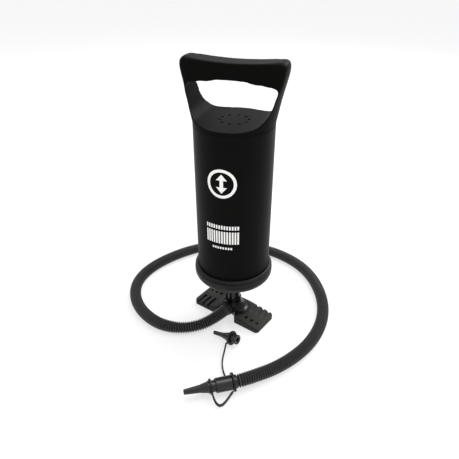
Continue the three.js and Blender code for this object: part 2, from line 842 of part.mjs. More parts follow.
const pump = new THREE.Group();
pump.add(
  foot(),
  shaft(),
  shaftBaseSeal(),
  pistonBody(),
  pistonNut(),
  pistonSeal(),
  pistonLid(),
  ...pistonScrews(),
  deliveryRetainer(),
  upperDeliveryDisc(),
  lowerDeliveryDisc(),
  shaftBush(),
  shaftLipSeal(),
  barrelGroup,
  hosePortCuff(),
  hose(),
  endGroup(),
  tetherStrap(),
  spareStrap(),
  spareGroup(),
);

export default pump;
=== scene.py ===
# %% [markdown]
# # A double action hand pump
# The object is a floor pump for air beds and boats. A foot and a hollow shaft stand still, and
# a barrel with a D handle is pulled up and pushed down over them. A ribbed hose leads the air
# from the foot to a tapered nozzle, and a second nozzle hangs on a soft tether.
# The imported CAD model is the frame: it says where every piece is and how it moves. This script
# gives each piece that can be seen its fine surface, and every piece its finish.

# %% The frame
import json
from math import ceil, cos, pi, radians, sin, tau

import bmesh
import bpy
from mathutils import Matrix, Vector


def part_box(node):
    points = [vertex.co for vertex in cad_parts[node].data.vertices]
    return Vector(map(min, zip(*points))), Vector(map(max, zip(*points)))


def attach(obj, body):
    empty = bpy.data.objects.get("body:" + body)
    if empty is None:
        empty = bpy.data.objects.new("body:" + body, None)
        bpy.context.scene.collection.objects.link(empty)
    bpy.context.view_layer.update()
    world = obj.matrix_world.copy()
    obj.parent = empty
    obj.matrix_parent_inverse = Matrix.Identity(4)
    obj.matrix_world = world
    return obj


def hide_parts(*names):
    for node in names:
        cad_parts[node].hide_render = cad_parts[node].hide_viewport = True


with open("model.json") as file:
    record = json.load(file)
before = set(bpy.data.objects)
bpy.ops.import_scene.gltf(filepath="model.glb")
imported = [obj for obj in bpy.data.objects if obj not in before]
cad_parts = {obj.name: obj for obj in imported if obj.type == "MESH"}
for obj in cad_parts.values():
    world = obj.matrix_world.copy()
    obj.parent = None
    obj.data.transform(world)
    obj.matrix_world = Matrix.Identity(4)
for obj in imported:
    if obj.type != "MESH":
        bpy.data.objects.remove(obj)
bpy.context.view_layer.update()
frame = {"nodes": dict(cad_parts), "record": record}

# %% [markdown]
# ## Working in millimetres
# The frame is in metres. Plastic parts like these are drawn in millimetres, so each shape is
# made in millimetres and scaled once, when it becomes a finished piece.

# %% Sizes read from the frame
MM = 0.001


def box_mm(node):
    """The lowest and highest corner of a CAD node, in millimetres."""
    low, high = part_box(node)
    return low / MM, high / MM


foot_low, foot_high = box_mm("foot")
tube_low, tube_high = box_mm("barrel_tube")
cap_low, cap_high = box_mm("handle_cap")
bowl_low, bowl_high = box_mm("bottom_cap")
ring_low, ring_high = box_mm("lock_ring")
shaft_low, shaft_high = box_mm("shaft")
BARREL_TURN = Matrix.Rotation(radians(18.5), 4, "Z")  # the handle isn't square to the foot
print("foot", foot_high - foot_low, "cap", cap_high - cap_low)

# %% [markdown]
# ## The camera
# The view is from above the end of the foot, a little to its right, as one sees the pump when
# standing over it. The lens is nearly a normal one, so the barrel tapers a little towards the
# floor.

# %% Camera
SENSOR_WIDTH = 36
LENS_LENGTH = 37.22
CAMERA_PLACE = Vector((262.7, -362.8, 388.3))
LOOK_ROUND = radians(36.5)  # turned from looking along +Y
LOOK_DOWN = radians(31.28)

camera_data = bpy.data.cameras.new("camera")
camera_data.sensor_width = SENSOR_WIDTH
camera_data.lens = LENS_LENGTH
camera_data.clip_start = 0.01
camera = bpy.data.objects.new("camera", camera_data)
camera.location = CAMERA_PLACE * MM
camera.rotation_euler = (pi / 2 - LOOK_DOWN, 0, LOOK_ROUND)
bpy.context.scene.collection.objects.link(camera)
bpy.context.scene.camera = camera

# %% [markdown]
# ## Nodes and colours
# Every finish is a Principled shader fed by a few textures. One small function adds a node, sets
# its sockets and properties and links it. Colours are written as the eye sees them, in sRGB, and
# one function turns them to the linear values that the shader needs.

# %% Node and colour helpers


def linear(shade):
    """An sRGB hex colour as linear red, green, blue and alpha."""
    parts = [int(shade[i : i + 2], 16) / 255 for i in (1, 3, 5)]
    return [p / 12.92 if p <= 0.04045 else ((p + 0.055) / 1.055) ** 2.4 for p in parts] + [1]


def add(tree, kind, settings=None, links=None):
    """A new node: a setting is a socket's value if a socket has that name, or else a property."""
    node = tree.nodes.new("ShaderNode" + kind)
    for name, value in (settings or {}).items():
        if isinstance(name, int) or name in node.inputs:
            node.inputs[name].default_value = value
        else:
            setattr(node, name, value)
    for name, source in (links or {}).items():
        tree.links.new(source, node.inputs[name])
    return node


def per_mm(size):
    """The texture scale at which one feature is that many millimetres wide."""
    return 1 / (size * MM)


# %% [markdown]
# ## Moulded plastic
# Nearly everything here is black plastic, and black plastic is told apart only by how it
# shines. A moulded surface copies the steel of its mould: a spark-eroded mould leaves a fine
# grain that scatters light, a polished one leaves a gloss. So one function makes a moulded
# plastic from its two nearly equal shades, its roughness from and to, the width of its grain
# and the grain's height. The grain is real only down to about 0.1 mm; it is drawn coarser, so
# that it shows at arm's length. A mould may be polished in one place and grained in another, so
# the function can take a zone: a value that is 1 where the main finish is and 0 elsewhere. The
# shades either side of a zone also paint light: painted shade round the foot's hub and in the
# hose's valleys, and a painted highlight on the hose's crests.

# %% A finish of moulded plastic
PATCH = 30.0  # width in millimetres of the clouds in a finish


def distance_zone(tree, near, far):
    """0 within the first distance from the Z axis and 1 beyond the second, in millimetres."""
    place = add(tree, "TexCoord").outputs["Object"]
    flat = add(tree, "VectorMath", {"operation": "MULTIPLY", 1: (1, 1, 0)}, {0: place})
    reach = add(tree, "VectorMath", {"operation": "LENGTH"}, {0: flat.outputs["Vector"]})
    limits = {"From Min": near * MM, "From Max": far * MM}
    return add(tree, "MapRange", limits, {"Value": reach.outputs["Value"]}).outputs["Result"]


def crest_zone(tree):
    """1 on the crests of the hose's ribs and 0 in the valleys."""
    return add(tree, "Attribute", {"attribute_name": "crest"}).outputs["Fac"]


def moulded(name, shades, roughness, grain, height, specular=0.5, zone=None, elsewhere=None):
    """A plastic finish: cloudy shade and roughness in patches, and a grain as bump.

    elsewhere is the shade and roughness outside the zone, which zone(tree) gives as a socket.
    """
    finish = bpy.data.materials.new(name)
    finish.use_nodes = True
    tree = finish.node_tree
    tree.nodes.clear()
    place = add(tree, "TexCoord").outputs["Object"]
    clouds = add(tree, "TexNoise", {"Scale": per_mm(PATCH), "Detail": 3.0}, {"Vector": place})
    fine = add(tree, "TexNoise", {"Scale": per_mm(grain), "Detail": 4.0}, {"Vector": place})
    shade = add(
        tree,
        "Mix",
        {"data_type": "RGBA", 6: linear(shades[0]), 7: linear(shades[1])},
        {0: clouds.outputs["Fac"]},
    )
    rough = add(
        tree,
        "MapRange",
        {"From Min": 0.3, "From Max": 0.7, "To Min": roughness[0], "To Max": roughness[1]},
        {"Value": fine.outputs["Fac"]},
    )
    bump = add(
        tree,
        "Bump",
        {"Strength": 1.0, "Distance": height * MM},
        {"Height": fine.outputs["Fac"]},
    )
    colour, dullness = shade.outputs[2], rough.outputs["Result"]
    if zone:
        where = zone(tree)
        other = {"data_type": "RGBA", 6: linear(elsewhere[0])}
        colour = add(tree, "Mix", other, {0: where, 7: colour}).outputs[2]
        dullness = add(tree, "Mix", {2: elsewhere[1]}, {0: where, 3: dullness}).outputs[0]
    shader = add(
        tree,
        "BsdfPrincipled",
        {"IOR": 1.5, "Specular IOR Level": specular},
        {"Base Color": colour, "Roughness": dullness, "Normal": bump.outputs["Normal"]},
    )
    add(tree, "OutputMaterial", {}, {"Surface": shader.outputs[0]})
    return finish


# %% The finishes, by the record's slot
# Satin ABS: the barrel, a smooth mould with a fine satin; a dark face and pale flanks.
satin_abs = moulded("satin_black_abs", ("#070707", "#090908"), (0.4, 0.48), 1.6, 0.006, 0.05)
# Polypropylene from a spark-eroded mould: its coarser grain spreads the highlights.
soft_pp = moulded("soft_black_pp", ("#0a0a09", "#0d0d0c"), (0.42, 0.54), 1.1, 0.02, 0.026)
# The bowl and its ring come from a brighter mould than the barrel.
rim_abs = moulded("rim_abs", ("#0f0f0e", "#141413"), (0.28, 0.38), 1.4, 0.012, 0.2)
# The foot is greyer polypropylene, grained on its pads and polished round its hub. The hub is
# also painted darker than the pads: painted shade, where the bowl above shades it.
foot_pp = moulded(
    "foot_pp",
    ("#1f1f1e", "#262624"),
    (0.46, 0.58),
    1.3,
    0.04,
    0.16,
    zone=lambda tree: distance_zone(tree, 19, 23),
    elsewhere=("#0a0a0a", 0.26),
)
# Polished ABS: the shaft, almost a mirror at a low angle, with long clear highlights.
gloss_abs = moulded("gloss_black_abs", ("#0d0d0d", "#111111"), (0.12, 0.2), 3.0, 0.002, 0.4)
# The nozzles and the adaptor come from polished moulds.
nozzle_pp = moulded("nozzle_pp", ("#121211", "#171716"), (0.22, 0.32), 1.8, 0.006, 0.42)
# Blow-moulded hose plastic: painted highlight on the glossy crests, painted shade in dull valleys.
hose_plastic = moulded(
    "hose_pe",
    ("#353534", "#3f3f3e"),
    (0.14, 0.22),
    1.4,
    0.006,
    0.45,
    zone=crest_zone,
    elsewhere=("#020202", 0.8),
)
# Soft PVC of the tether: a slightly oily, even grey-black.
tether_pvc = moulded("tether_pvc", ("#161615", "#1b1b1a"), (0.34, 0.44), 1.2, 0.008, 0.25)
# Nitrile rubber of the seals: dull and deep.
nitrile = moulded("nitrile_rubber", ("#161616", "#1d1d1d"), (0.6, 0.75), 0.8, 0.01, 0.35)
# Acetal of the inner parts: milky white with a faint wax shine.
acetal = moulded("natural_acetal", ("#e0dfd8", "#e9e8e2"), (0.35, 0.45), 1.5, 0.004, 0.5)
# Screen ink: a thin, slightly uneven white film.
ink = moulded("white_screen_ink", ("#f2f2f0", "#fafaf8"), (0.45, 0.6), 0.9, 0.004, 0.4)

# %% [markdown]
# ## Zinc-plated screw steel
# The three screws in the piston's lid are plated steel. Plating is a metal, so it has no colour
# of its own under the shine: the base colour tints the reflection. Fine turning marks run round
# each head, so the roughness comes from rings.

# %% Zinc-plated steel
zinc = bpy.data.materials.new("zinc_plated_steel")
zinc.use_nodes = True
zinc_tree = zinc.node_tree
zinc_tree.nodes.clear()
zinc_place = add(zinc_tree, "TexCoord").outputs["Object"]
turning_marks = add(
    zinc_tree,
    "TexWave",
    {"wave_type": "RINGS", "rings_direction": "Z", "Scale": per_mm(4), "Distortion": 0.6},
    {"Vector": zinc_place},
)
zinc_rough = add(
    zinc_tree,
    "MapRange",
    {"To Min": 0.25, "To Max": 0.4},
    {"Value": turning_marks.outputs["Fac"]},
)
zinc_shader = add(
    zinc_tree,
    "BsdfPrincipled",
    {"Base Color": linear("#bfc3c7"), "Metallic": 1.0},
    {"Roughness": zinc_rough.outputs["Result"]},
)
add(zinc_tree, "OutputMaterial", {}, {"Surface": zinc_shader.outputs[0]})

FINISHES = {
    "satin_black_abs": satin_abs,
    "soft_black_pp": soft_pp,
    "gloss_black_abs": gloss_abs,
    "hose_pvc": hose_plastic,
    "tether_pvc": tether_pvc,
    "seal_rubber": nitrile,
    "white_acetal": acetal,
    "zinc_steel": zinc,
    "print_white": ink,
}
print("finishes:", ", ".join(FINISHES))

# %% [markdown]
# ## From a bmesh to a finished piece
# A bmesh is Blender's mesh on the workbench. When its shape is right it becomes a mesh and an
# object, is scaled to metres, shaded smooth except at hard corners, and is tied to the CAD body
# that it moves with. A weighted normal keeps wide flat faces looking flat next to small bevels.

# %% Finishing a piece


def finish_piece(shape, name, body, slot, stands_for=(), corner=40, finish=None):
    """Turns a bmesh in millimetres into a piece that rides on a body."""
    bmesh.ops.scale(shape, vec=(MM, MM, MM), verts=shape.verts)
    mesh = bpy.data.meshes.new(name)
    shape.to_mesh(mesh)
    shape.free()
    mesh.shade_smooth()
    mesh.set_sharp_from_angle(angle=radians(corner))
    mesh.materials.append(finish or FINISHES[slot])
    piece = bpy.data.objects.new(name, mesh)
    bpy.context.scene.collection.objects.link(piece)
    flatter = piece.modifiers.new("flat faces stay flat", "WEIGHTED_NORMAL")
    flatter.keep_sharp = True
    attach(piece, body)
    if stands_for:
        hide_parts(*stands_for)
    triangles = sum(len(face.vertices) - 2 for face in mesh.polygons)
    print(name, "has", triangles, "triangles")
    return piece


# %% [markdown]
# ## Small tools
# Most of the pump is round, so most pieces are an outline spun round an axis. The rest is made
# by pushing a flat outline straight and by joining and cutting such shapes. A spun or pushed
# shape has knife-sharp corners that no mould gives, so a bevel rounds every hard edge.

# %% Arcs, spinning, pushing and bevelling


def arc(x, y, radius, start, end, steps=8):
    """Points of an outline on an arc, between two angles in degrees."""
    turns = [radians(start + (end - start) * i / steps) for i in range(steps + 1)]
    return [(x + radius * cos(t), y + radius * sin(t)) for t in turns]


def tidied(shape):
    """Closes seams and poles and points every face outwards."""
    bmesh.ops.remove_doubles(shape, verts=shape.verts, dist=1e-4)
    bmesh.ops.dissolve_degenerate(shape, dist=1e-4, edges=shape.edges)
    bmesh.ops.recalc_face_normals(shape, faces=shape.faces)
    return shape


def spun(outline, segments=96):
    """An outline of (radius, height) spun round the Z axis; it closes on itself or on the axis."""
    shape = bmesh.new()
    points = [shape.verts.new((radius, 0, height)) for radius, height in outline]
    on_axis = outline[0][0] == 0 and outline[-1][0] == 0
    pairs = list(zip(points, points[1:])) + ([] if on_axis else [(points[-1], points[0])])
    edges = [shape.edges.new(pair) for pair in pairs]
    bmesh.ops.spin(
        shape,
        geom=points + edges,
        axis=(0, 0, 1),
        cent=(0, 0, 0),
        steps=segments,
        angle=tau,
        use_merge=True,
    )
    return tidied(shape)


def pushed(corners, way):
    """A flat face with these corners, pushed straight along a vector into a solid."""
    shape = bmesh.new()
    face = shape.faces.new([shape.verts.new(corner) for corner in corners])
    grown = bmesh.ops.extrude_face_region(shape, geom=[face])
    moved = [part for part in grown["geom"] if isinstance(part, bmesh.types.BMVert)]
    bmesh.ops.translate(shape, vec=way, verts=moved)
    return tidied(shape)


def rod(radius, start, end, sides=32):
    """A round rod from one point to another."""
    start, end = Vector(start), Vector(end)
    turn = Vector((0, 0, 1)).rotation_difference(end - start).to_matrix().to_4x4()
    shape = bmesh.new()
    bmesh.ops.create_cone(
        shape,
        cap_ends=True,
        segments=sides,
        radius1=radius,
        radius2=radius,
        depth=(end - start).length,
        matrix=Matrix.Translation((start + end) / 2) @ turn,
    )
    return shape


def rod_circle(radius, circle, count, low, high, sides=32, share=0):
    """Upright rods at equal angles on a circle; the first is a share of a step from +X."""
    rods = []
    for i in range(count):
        turn = tau * (i + share) / count
        x, y = circle * cos(turn), circle * sin(turn)
        rods.append(rod(radius, (x, y, low), (x, y, high), sides))
    return rods


def block(low, high):
    """A box between two corners."""
    low, high = Vector(low), Vector(high)
    shape = bmesh.new()
    grow = Matrix.Diagonal((*(high - low), 1))
    bmesh.ops.create_cube(shape, size=1, matrix=Matrix.Translation((low + high) / 2) @ grow)
    return shape


def softened(shape, width, corner=25, segments=3):
    """Rounds each edge where the surface turns by more than that many degrees."""
    hard = [
        edge
        for edge in shape.edges
        if len(edge.link_faces) == 2 and edge.calc_face_angle() > radians(corner)
    ]
    bmesh.ops.bevel(
        shape,
        geom=hard,
        offset=width,
        offset_type="OFFSET",
        affect="EDGES",
        segments=segments,
        profile=0.5,
        material=-1,
        clamp_overlap=True,
    )
    return shape


# %% [markdown]
# ## Joining and cutting
# A Boolean modifier needs objects, so two bmeshes are put on the bench as objects, combined, and
# read back. A voxel remesh then gives a cast shape one even skin, and smoothing that skin rounds
# its corners the way a mould's corners are rounded.

# %% Booleans, even skins and smoothing


def on_bench(shape, name):
    """A bmesh as a working object."""
    mesh = bpy.data.meshes.new(name)
    shape.to_mesh(mesh)
    shape.free()
    holder = bpy.data.objects.new(name, mesh)
    bpy.context.scene.collection.objects.link(holder)
    return holder


def off_bench(holder, helpers=()):
    """The working object as its modifiers leave it, as a bmesh; the objects are removed."""
    evaluated = holder.evaluated_get(bpy.context.evaluated_depsgraph_get())
    shape = bmesh.new()
    shape.from_mesh(evaluated.to_mesh())
    evaluated.to_mesh_clear()
    for used in (holder, *helpers):
        mesh = used.data
        bpy.data.objects.remove(used)
        bpy.data.meshes.remove(mesh)
    return shape


def combined(operation, body, *tools):
    """The body with each tool joined to it (UNION), cut away (DIFFERENCE) or kept (INTERSECT)."""
    holder = on_bench(body, "bench_body")
    helpers = [on_bench(tool, "bench_tool") for tool in tools]
    for helper in helpers:
        step = holder.modifiers.new("step", "BOOLEAN")
        step.operation = operation
        step.solver = "MANIFOLD"
        step.object = helper
    return off_bench(holder, helpers)


def even_skin(shape, voxel):
    """The same solid with a skin of even quads about that wide."""
    holder = on_bench(shape, "bench_skin")
    skin = holder.modifiers.new("skin", "REMESH")
    skin.mode = "VOXEL"
    skin.voxel_size = voxel
    return off_bench(holder)


def smoothed(shape, rounds, where=lambda place: True):
    """Relaxes the skin that many times, everywhere or only where a test of the place holds."""
    chosen = [vert for vert in shape.verts if where(vert.co)]
    for _ in range(rounds):
        bmesh.ops.smooth_vert(
            shape, verts=chosen, factor=0.5, use_axis_x=True, use_axis_y=True, use_axis_z=True
        )
    return shape


# %% [markdown]
# ## The routes of the hose and the straps
# A cord's route is a list of given points. A centripetal Catmull-Rom curve goes
# through all of them without overshooting, and is then cut into even steps, so that the ribs
# of the hose are all equally wide.

# %% A smooth line through given points


CURVE_PIECES = 40  # short pieces between two given points, to measure the curve by


def curve_point(four, at, t):
    """The point at t on the curve between the middle two of four points, which lie at at[i]."""

    def between(a, b, start, stop):
        return a.lerp(b, (t - at[start]) / (at[stop] - at[start]))

    first = between(four[0], four[1], 0, 1)
    middle = between(four[1], four[2], 1, 2)
    last = between(four[2], four[3], 2, 3)
    return between(between(first, middle, 0, 2), between(middle, last, 1, 3), 1, 2)


def smooth_line(points, step):
    """Points about a step apart on the centripetal Catmull-Rom curve, and the curve's length."""
    through = [Vector(p) for p in points]
    through = [2 * through[0] - through[1], *through, 2 * through[-1] - through[-2]]
    dense = []
    for i in range(1, len(through) - 2):
        four = through[i - 1 : i + 3]
        at = [0.0]
        for a, b in zip(four, four[1:]):
            at.append(at[-1] + (b - a).length ** 0.5)
        for k in range(CURVE_PIECES):
            dense.append(curve_point(four, at, at[1] + (at[2] - at[1]) * k / CURVE_PIECES))
    dense.append(through[-2])
    along = [0.0]
    for a, b in zip(dense, dense[1:]):
        along.append(along[-1] + (b - a).length)
    count = ceil(along[-1] / step)
    even, k = [], 0
    for i in range(count + 1):
        wanted = along[-1] * i / count
        while k < len(along) - 2 and along[k + 1] < wanted:
            k += 1
        share = (wanted - along[k]) / (along[k + 1] - along[k])
        even.append(dense[k].lerp(dense[k + 1], min(1.0, share)))
    return even, along[-1]


# %% [markdown]
# ## A tube round a line
# A hose or a strap is a flat grid of faces, rolled round its line: each row of the grid becomes
# one ring. A ring's section is a list of offsets to the side and upwards, and it may change
# along the way, which is how the ribs are made. Both ends are closed.

# %% Rolling a grid round a line


def rolled(line, section_at, marks_at=None):
    """A closed tube along a line. section_at(i) gives the ring's (sideways, upwards) offsets."""
    sides = len(section_at(0))
    last = len(line) - 1
    shape = bmesh.new()
    bmesh.ops.create_grid(shape, x_segments=sides, y_segments=last, size=1)
    mark = shape.verts.layers.float.new("crest")
    up = Vector((0, 0, 1))
    rings = []
    for i, middle in enumerate(line):
        heading = (line[min(i + 1, last)] - line[max(i - 1, 0)]).normalized()
        sideways = heading.cross(up).normalized()
        upwards = sideways.cross(heading)
        rings.append([middle + sideways * a + upwards * b for a, b in section_at(i)])
    for vert in shape.verts:
        column = round((vert.co.x + 1) / 2 * sides) % sides
        row = round((vert.co.y + 1) / 2 * last)
        vert.co = rings[row][column]
        vert[mark] = marks_at(row) if marks_at else 0.0
    bmesh.ops.remove_doubles(shape, verts=shape.verts, dist=1e-4)
    bmesh.ops.holes_fill(shape, edges=[edge for edge in shape.edges if edge.is_boundary], sides=0)
    bmesh.ops.recalc_face_normals(shape, faces=shape.faces)
    return shape


# %% [markdown]
# ## The hose
# The real hose is extruded and blown into a ribbed mould: rings of plastic 2.65 mm apart, 14 mm
# across on the crests. It leaves the foot's port, drops to the floor, goes round behind the
# pump in one loose loop and comes back in front. Nothing holds it, so it lies flat, and only
# its two ends are lifted by what they are pushed on. It is made as real rings and not as bump,
# because its outline is visibly toothed.

# %% Hose
HOSE_RADIUS = 7.0
RIB_PITCH = 2.65
RIB_DEPTH = 1.9
CREST_SHARPNESS = 1.2
RINGS_PER_RIB = 8
HOSE_SIDES = 24
LYING = HOSE_RADIUS + 0.1
HOSE_ROUTE = [
    (0, -16.6, 12),
    (-0.1, -20, 12),
    (-1.6, -28, 11),
    (-5.4, -39.5, 8.9),
    (-11.6, -51.5, 7.4),
    (-21, -63, LYING),
    (-33.6, -71.6, LYING),
    (-52, -76.6, LYING),
    (-76, -74.4, LYING),
    (-97.5, -66, LYING),
    (-115, -53, LYING),
    (-127.5, -36.5, LYING),
    (-134.4, -17, LYING),
    (-136, 4, LYING),
    (-133, 27, LYING),
    (-126, 51, LYING),
    (-115, 74, LYING),
    (-98.5, 95, LYING),
    (-77, 112, LYING),
    (-53, 123, LYING),
    (-27.5, 128.4, LYING),
    (-1, 128, LYING),
    (25.5, 121.4, LYING),
    (48, 109, LYING),
    (68, 91.5, LYING),
    (85, 70, LYING),
    (97, 46, LYING),
    (103.6, 20, LYING),
    (104.8, -6, LYING),
    (100.8, -32, LYING),
    (93, -55.5, 7.3),
    (83.4, -75.6, 8.5),
    (74.7, -91.2, 9.4),
    (72.6, -94, 9.4),
]
hose_line, hose_length = smooth_line(HOSE_ROUTE, RIB_PITCH / RINGS_PER_RIB)
rib_count = round(hose_length / RIB_PITCH)
ring_total = len(hose_line) - 1


def rib_height(i):
    """1 on a rib's crest and 0 in the valley, with a crest narrower than the valley."""
    wave = 0.5 + 0.5 * cos(tau * rib_count * i / ring_total)
    return wave**CREST_SHARPNESS


def hose_section(i):
    """The round ring number i, wide on a crest and narrow in a valley."""
    radius = HOSE_RADIUS - RIB_DEPTH * (1 - rib_height(i))
    return [
        (radius * cos(tau * k / HOSE_SIDES), radius * sin(tau * k / HOSE_SIDES))
        for k in range(HOSE_SIDES)
    ]


hose = finish_piece(
    rolled(hose_line, hose_section, rib_height),
    "ribbed_hose",
    "base",
    "hose_pvc",
    ["hose"],
    corner=80,
)
print("hose length in mm:", round(hose_length, 1), "ribs:", rib_count)

# %% [markdown]
# ## The fitting at the hose's end
# Four turned pieces share one axis there: a plain adaptor, the hoop of the tether behind it,
# the nozzle pushed into it, and a thin hoop at the nozzle's root. Their outlines are spun round
# Z and then laid along that axis. The hoops have small lugs where the straps join them.

# %% The axes of the two nozzles


def laid(place, heading):
    """The matrix that puts a turned piece's foot at a place and its +Z along a heading."""
    along = Vector(heading).normalized()
    side = Vector((-along.y, along.x, 0)).normalized()
    upright = along.cross(side)
    basis = Matrix((side, upright, along)).transposed()
    return Matrix.Translation(place) @ basis.to_4x4()


END_PLACE = Vector((71.2, -95.7, 9.4))
END_HEADING = Vector((-0.629, -0.777, 0)).normalized()
END_SIDE = Vector((-END_HEADING.y, END_HEADING.x, 0))
END_FRAME = laid(END_PLACE, END_HEADING)
SPARE_FRAME = laid(Vector((32.1, -46.6, 8.3)), (-25.4, -0.3, -5.4))


def beside(along, out, height):
    """A point beside the end fitting: along its axis, out to its side, and a height."""
    point = END_PLACE + END_HEADING * along + END_SIDE * out
    return (point.x, point.y, height)


# %% Adaptor and nozzle
ADAPTOR_OUTLINE = [
    (4.6, -1.9),
    (7, -1.9),
    (7, 0.2),
    (6.6, 0.2),
    (6.6, 2.7),
    (7.2, 2.7),
    (7.5, 3.1),
    (7.5, 19),
    (6.9, 20),
    (6.3, 20),
    (6.3, 12.7),
    (4.6, 12.7),
]
adaptor_shape = softened(spun(ADAPTOR_OUTLINE, 64), 0.25)
adaptor_shape.transform(END_FRAME)
adaptor = finish_piece(
    adaptor_shape, "end_adaptor", "base", "soft_black_pp", ["hose_adaptor"], finish=nozzle_pp
)

NOZZLE_OUTLINE = [
    (2.3, 13),
    (5.9, 13),
    (5.9, 26),
    (6.3, 26),
    (6.3, 27.2),
    (5.6, 27.8),
    (4.3, 34.6),
    (4, 35.2),
    (2.7, 51),
    (2.3, 51.8),
    (1.5, 51.8),
    (1.5, 38),
    (2.3, 30),
]
nozzle_shape = softened(spun(NOZZLE_OUTLINE, 64), 0.2)
nozzle_shape.transform(END_FRAME)
nozzle = finish_piece(
    nozzle_shape, "tapered_nozzle", "base", "soft_black_pp", ["nozzle"], finish=nozzle_pp
)

# %% [markdown]
# ## The tether
# The tether is one soft PVC moulding on the real object: a hoop on the adaptor, a short strap
# to the nozzle in use and a longer one to the spare nozzle. A flat strap bends easily only
# across its thin side, so it stands on its edge as it loops over the floor.

# %% Hoops with lugs
LUG_HALF = 1.3  # half of a lug's width
LUG_STEP = 0.1  # a lug is this much lower than its hoop, on both faces
LUG_REACH = 11.4


def hoop(inner, outer, low, high, lugs):
    """A thin ring with a lug on some of its sides; a lug is (inner end, outer end, sign)."""
    ring = softened(spun([(inner, low), (outer, low), (outer, high), (inner, high)], 64), 0.35)
    for near, far, sign in lugs:
        ends = sorted((sign * near, sign * far))
        lug_low = (ends[0], -LUG_HALF, low + LUG_STEP)
        lug_high = (ends[1], LUG_HALF, high - LUG_STEP)
        ring = combined("UNION", ring, softened(block(lug_low, lug_high), 0.4))
    return ring


tether_hoop_shape = hoop(6.9, 9.6, 0.5, 2.4, [(8.4, LUG_REACH, 1), (8.4, LUG_REACH, -1)])
tether_hoop_shape.transform(END_FRAME)
tether_hoop = finish_piece(
    tether_hoop_shape, "tether_hoop", "base", "tether_pvc", ["tether_ring"]
)

nozzle_hoop_shape = hoop(6.2, 7.9, 23.7, 25.7, [(7, 9.4, 1)])
nozzle_hoop_shape.transform(END_FRAME)
nozzle_hoop = finish_piece(
    nozzle_hoop_shape, "nozzle_hoop", "base", "tether_pvc", ["nozzle_ring"]
)

spare_hoop_shape = hoop(5.7, 8.1, -0.9, 0.9, [(7.4, 9.6, 1)])
spare_hoop_shape.transform(SPARE_FRAME)
spare_hoop = finish_piece(spare_hoop_shape, "spare_hoop", "base", "tether_pvc", ["spare_ring"])

# %% Straps
STRAP_WIDTH = 3.2
STRAP_THICK = 1.6
STRAP_EDGE = 0.6
STRAP_STEP = 0.7
strap_corner = (STRAP_THICK / 2 - STRAP_EDGE, STRAP_WIDTH / 2 - STRAP_EDGE)
strap_section = (
    arc(strap_corner[0], strap_corner[1], STRAP_EDGE, 0, 90, 4)
    + arc(-strap_corner[0], strap_corner[1], STRAP_EDGE, 90, 180, 4)
    + arc(-strap_corner[0], -strap_corner[1], STRAP_EDGE, 180, 270, 4)
    + arc(strap_corner[0], -strap_corner[1], STRAP_EDGE, 270, 360, 4)
)
LOOP_ROUTE = [
    beside(3.3, 6.2, 2.2),
    beside(5.3, 8, 2.1),
    beside(9, 11.8, 2),
    beside(13.3, 15.8, 2),
    beside(17, 18.4, 2.2),
    beside(20.4, 19, 3),
    beside(22.8, 17.2, 4.8),
    beside(24.2, 14, 7.2),
    beside(24.7, 11.5, 9.1),
    beside(24.7, 10, 9.4),
]
SPARE_ROUTE = [
    beside(3.7, -6.6, 2.2),
    beside(4.9, -9, 2.1),
    beside(5.9, -15, 2),
    beside(6.1, -22, 2),
    beside(5.4, -29, 2),
    beside(3.6, -36.5, 2),
    beside(0.8, -43.5, 2.5),
    beside(-1.8, -48.4, 4.4),
    beside(-3.8, -52, 7),
    beside(-4.8, -53.9, 8.1),
    beside(-5.5, -54.8, 8.3),
]


def strap(route, name, node):
    """A flat strap along a route, with its line and length in millimetres."""
    line, length = smooth_line(route, STRAP_STEP)
    shape = rolled(line, lambda i: strap_section)
    piece = finish_piece(shape, name, "base", "tether_pvc", [node], corner=60)
    print(name, "is", round(length, 1), "mm long")
    return piece, line, length


tether_loop, loop_line, loop_length = strap(LOOP_ROUTE, "tether_loop", "tether_strap")
spare_tether, spare_line, spare_length = strap(SPARE_ROUTE, "spare_tether", "spare_strap")

# %% [markdown]
# ## The spare nozzle
# A finer nozzle for small valves. Its round tail would plug into the adaptor, its flange stops
# it there, and its tip has a slot that spreads when it is pushed into a valve.

# %% Spare nozzle
SPARE_OUTLINE = [
    (2.6, -8),
    (5.4, -8),
    (5.4, 1.2),
    (6.2, 1.2),
    (6.2, 2.6),
    (4.6, 6.5),
    (3.2, 11.5),
    (2.5, 16),
    (2.1, 25.6),
    (1.1, 25.6),
    (1.1, 8),
    (2.6, 2),
]
tip_slot = block((-3, -0.5, 19), (3, 0.5, 27))
spare_shape = combined("DIFFERENCE", softened(spun(SPARE_OUTLINE, 64), 0.25), tip_slot)
spare_shape.transform(SPARE_FRAME)
spare = finish_piece(
    spare_shape, "spare_taper", "base", "soft_black_pp", ["spare_nozzle"], finish=nozzle_pp
)

# %%


# %% [markdown]
# ## The port cuff
# The hose's plain first ring, where it is pushed over the foot's port.

# %% Port cuff
CUFF_PLACE = Vector((0, -12.3, 12))
CUFF_INNER = 4.2
CUFF_OUTER = 7.9
CUFF_LENGTH = 3.8
cuff_outline = [
    (CUFF_INNER, 0),
    (CUFF_OUTER, 0),
    (CUFF_OUTER, CUFF_LENGTH),
    (CUFF_INNER, CUFF_LENGTH),
]
cuff_shape = softened(spun(cuff_outline, 64), 0.5)
cuff_shape.transform(Matrix.Translation(CUFF_PLACE) @ Matrix.Rotation(pi / 2, 4, "X"))
finish_piece(cuff_shape, "port_cuff", "base", "hose_pvc", ["hose_port_cuff"])

